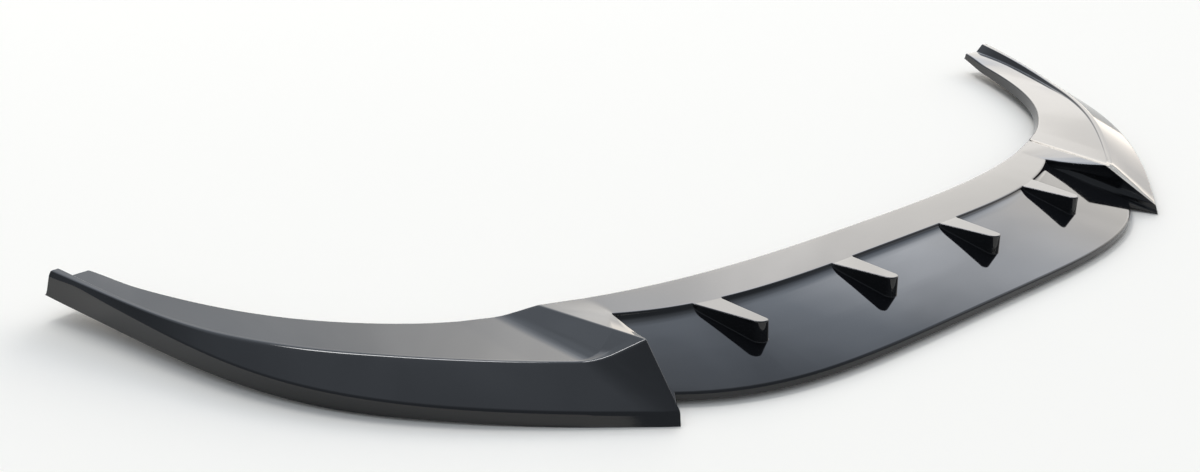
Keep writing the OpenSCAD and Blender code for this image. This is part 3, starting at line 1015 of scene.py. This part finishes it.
# its share and colour at a height from 0 at the horizon to 1 overhead
HEIGHT_STOPS = ((0.0, 0.85, "#fff3e2"), (0.07, 0.78, "#fff6ea"), (0.15, 0.52, "#fff9f1"),
                (0.24, 0.68, "#fffaf3"), (0.35, 0.84, "#fff9f0"), (0.45, 0.86, "#fffaf4"),
                (0.55, 0.88, "#f6f9ff"), (0.64, 0.28, "#e4efff"), (0.75, 0.08, "#d4e4ff"),
                (0.87, 0.0, "#d4e4ff"))
print("the bright side reaches", max(level for _, level in SIDE_STOPS), "at its middle")

# %% Even light and glow
world = bpy.data.worlds.new("studio")
bpy.context.scene.world = world
world.use_nodes = True
tree = world.node_tree
tree.nodes.clear()
place = add_node(tree, "ShaderNodeTexCoord")
part = add_node(tree, "ShaderNodeSeparateXYZ", links={"Vector": (place, "Generated")})

facing = add_node(tree, "ShaderNodeVectorMath", {"operation": "DOT_PRODUCT", 1: toward(*GLOW_FROM)},
                  {0: (place, "Generated")})
# clouds and cloth make the light a little uneven
cloth = add_node(tree, "ShaderNodeTexNoise", {"Scale": 5.0, "Detail": 4.0, "Distortion": 0.5},
                 {"Vector": (place, "Generated")})
uneven = add_node(tree, "ShaderNodeMapRange", {"From Min": 0.35, "From Max": 0.65,
                                               "To Min": 0.82, "To Max": 1.18},
                  {"Value": (cloth, "Fac")})
glow = facing
for operation, number in (("MAXIMUM", 0.0), ("POWER", GLOW_POWER), ("MULTIPLY", GLOW)):
    glow = add_node(tree, "ShaderNodeMath", {"operation": operation, 1: number}, {0: (glow, "Value")})
glow = add_node(tree, "ShaderNodeMath", {"operation": "MULTIPLY"},
                {0: (glow, "Value"), 1: (uneven, "Result")})
glow = add_node(tree, "ShaderNodeMath", {"operation": "ADD", 1: EVEN}, {0: (glow, "Value")})
cool = add_node(tree, "ShaderNodeBackground", {"Color": linear("#e8f2ff")},
                {"Strength": (glow, "Value")})
print("even light of", EVEN, "with a glow of", GLOW)

# %% [markdown]
# The bright side is a product of two ramps: one round the horizon gives its strength, and one up
# from the horizon gives its share and its colour. Both are smooth, so no edge of it is mirrored.

# %% Bright side
bearing = add_node(tree, "ShaderNodeMath", {"operation": "ARCTAN2"}, {0: (part, "X"), 1: (part, "Y")})
azimuth = add_node(tree, "ShaderNodeMapRange", {"From Min": -math.pi, "From Max": math.pi},
                   {"Value": (bearing, "Value")})
side = add_node(tree, "ShaderNodeValToRGB", links={"Fac": (azimuth, "Result")})
height = add_node(tree, "ShaderNodeValToRGB", links={"Fac": (part, "Z")})
levels = [((a + 180) / 360, [level / BRIGHT] * 3) for a, level in SIDE_STOPS]
tints = [(z, [share * c for c in linear(tint)[:3]]) for z, share, tint in HEIGHT_STOPS]
for node, stops in ((side, levels), (height, tints)):
    while len(node.color_ramp.elements) < len(stops):
        node.color_ramp.elements.new(0.5)
    for element, (where, colour) in zip(node.color_ramp.elements, stops):
        element.position, element.color = where, [*colour, 1]

strength = add_node(tree, "ShaderNodeMath", {"operation": "MULTIPLY"},
                    {0: (side, "Color"), 1: (uneven, "Result")})
strength = add_node(tree, "ShaderNodeMath", {"operation": "MULTIPLY", 1: BRIGHT},
                    {0: (strength, "Value")})
plain = add_node(tree, "ShaderNodeBackground",
                 links={"Color": (height, "Color"), "Strength": (strength, "Value")})
both = add_node(tree, "ShaderNodeAddShader",
                links={0: (cool, "Background"), 1: (plain, "Background")})
add_node(tree, "ShaderNodeOutputWorld", links={"Surface": (both, "Shader")})
print("world with", len(tree.nodes), "nodes")

# %% [markdown]
# A narrow strip of light stands far away, high at the back. No panel faces it, so only the folds
# mirror it, and it draws a thin bright line along the crests.

# %% Strip
STRIP_AT, STRIP_AWAY, STRIP_SIZE, STRIP_LEVEL = (6, 59), 9.0, (3.8, 0.9), 16
lamp = bpy.data.lights.new("strip_soft_box", "AREA")
lamp.shape = "RECTANGLE"
lamp.size, lamp.size_y = STRIP_SIZE
# this energy makes the strip's face 16 times as bright as white paper
lamp.energy = STRIP_LEVEL * math.pi * lamp.size * lamp.size_y
strip = bpy.data.objects.new("strip_soft_box", lamp)
bpy.context.scene.collection.objects.link(strip)
away = np.array(toward(*STRIP_AT))
across = unit(np.cross([0, 0, 1], away))
turn = Matrix(np.stack([across, np.cross(away, across), away], 1).tolist()).to_4x4()
turn.translation = (STRIP_AWAY * away).tolist()
strip.matrix_world = turn
strip.visible_camera = False
print("a strip of", STRIP_SIZE[0], "by", STRIP_SIZE[1], "m,", STRIP_AWAY, "m away")

# %% [markdown]
# ## Camera
#
# The camera stands where the photograph was taken from: to the left of the part, in front and
# above. Its place and turn come from mirror pairs of points on the part, which fix the viewpoint.

# %% Camera
camera_data = bpy.data.cameras.new("camera")
camera_data.lens = 33.0
camera_data.sensor_width = 36.0
camera_data.sensor_fit = "HORIZONTAL"
camera = bpy.data.objects.new("camera", camera_data)
bpy.context.scene.collection.objects.link(camera)
turn = Matrix(((0.80067, 0.24337, -0.54745),
               (-0.59908, 0.33432, -0.72756),
               (0.00596, 0.91050, 0.41347))).to_4x4()
# the first number of y is measured from the wings' front corners
turn.translation = (-1.06693, -0.6863 - ORIGIN_Y / 1000, 0.62231)
camera.matrix_world = turn
bpy.context.scene.camera = camera
bpy.context.scene.view_settings.view_transform = "Standard"
print("camera at", [round(v, 3) for v in turn.translation])
